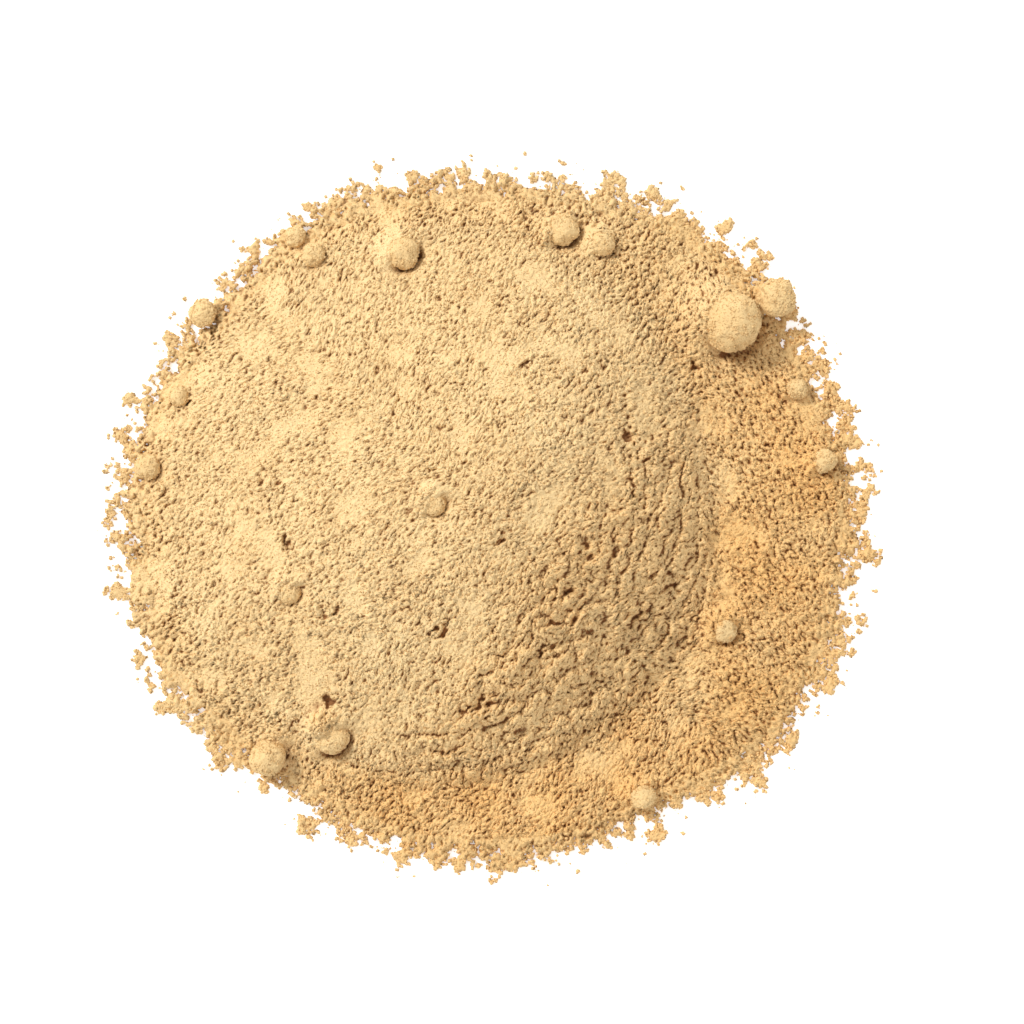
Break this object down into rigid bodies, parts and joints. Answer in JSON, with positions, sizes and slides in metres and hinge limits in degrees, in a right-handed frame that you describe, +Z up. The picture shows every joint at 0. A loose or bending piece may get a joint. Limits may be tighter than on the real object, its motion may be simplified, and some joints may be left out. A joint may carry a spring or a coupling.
{
  "type": "heap of ground ginger",
  "caption": "Low round heap of pale ground ginger powder with a steep flank, caked lumps and a loose crumbly rim.",
  "frame": {"origin": "on the surface under the heap, at the middle of the box round the heap and its loose crumbs", "axes": "+Z up; +X along the heap's longer side, towards its low apron; +Y towards the gently sloping back"},
  "size_m": [0.092, 0.0848, 0.015],
  "materials": {
    "ginger_powder": "matte",
    "caked_powder": "matte",
    "loose_powder": "matte"
  },
  "bodies": {
    "root": {"crumb_01": "loose_powder", "crumb_02": "loose_powder", "crumb_03": "loose_powder", "crumb_04": "loose_powder", "crumb_05": "loose_powder", "crumb_06": "loose_powder", "crumb_07": "loose_powder", "crumb_08": "loose_powder", "crumb_09": "loose_powder", "crumb_10": "loose_powder", "crumb_11": "loose_powder", "crumb_12": "loose_powder", "crumb_13": "loose_powder", "crumb_14": "loose_powder", "crumb_15": "loose_powder", "crumb_16": "loose_powder", "crumb_17": "loose_powder", "crumb_18": "loose_powder", "crumb_19": "loose_powder", "crumb_20": "loose_powder", "crumb_21": "loose_powder", "crumb_22": "loose_powder", "crumb_23": "loose_powder", "crumb_24": "loose_powder", "crumb_25": "loose_powder", "crumb_26": "loose_powder", "crumb_27": "loose_powder", "crumb_28": "loose_powder", "crumb_29": "loose_powder", "crumb_30": "loose_powder", "crumb_31": "loose_powder", "crumb_32": "loose_powder", "crumb_33": "loose_powder", "crumb_34": "loose_powder", "crumb_35": "loose_powder", "lump_01": "caked_powder", "lump_02": "caked_powder", "lump_03": "caked_powder", "lump_04": "caked_powder", "lump_05": "caked_powder", "lump_06": "caked_powder", "lump_07": "caked_powder", "lump_08": "caked_powder", "lump_09": "caked_powder", "lump_10": "caked_powder", "lump_11": "caked_powder", "lump_12": "caked_powder", "lump_13": "caked_powder", "lump_14": "caked_powder", "lump_15": "caked_powder", "lump_16": "caked_powder", "lump_17": "caked_powder", "lump_18": "caked_powder", "powder_heap": "ginger_powder"}
  },
  "joints": []
}
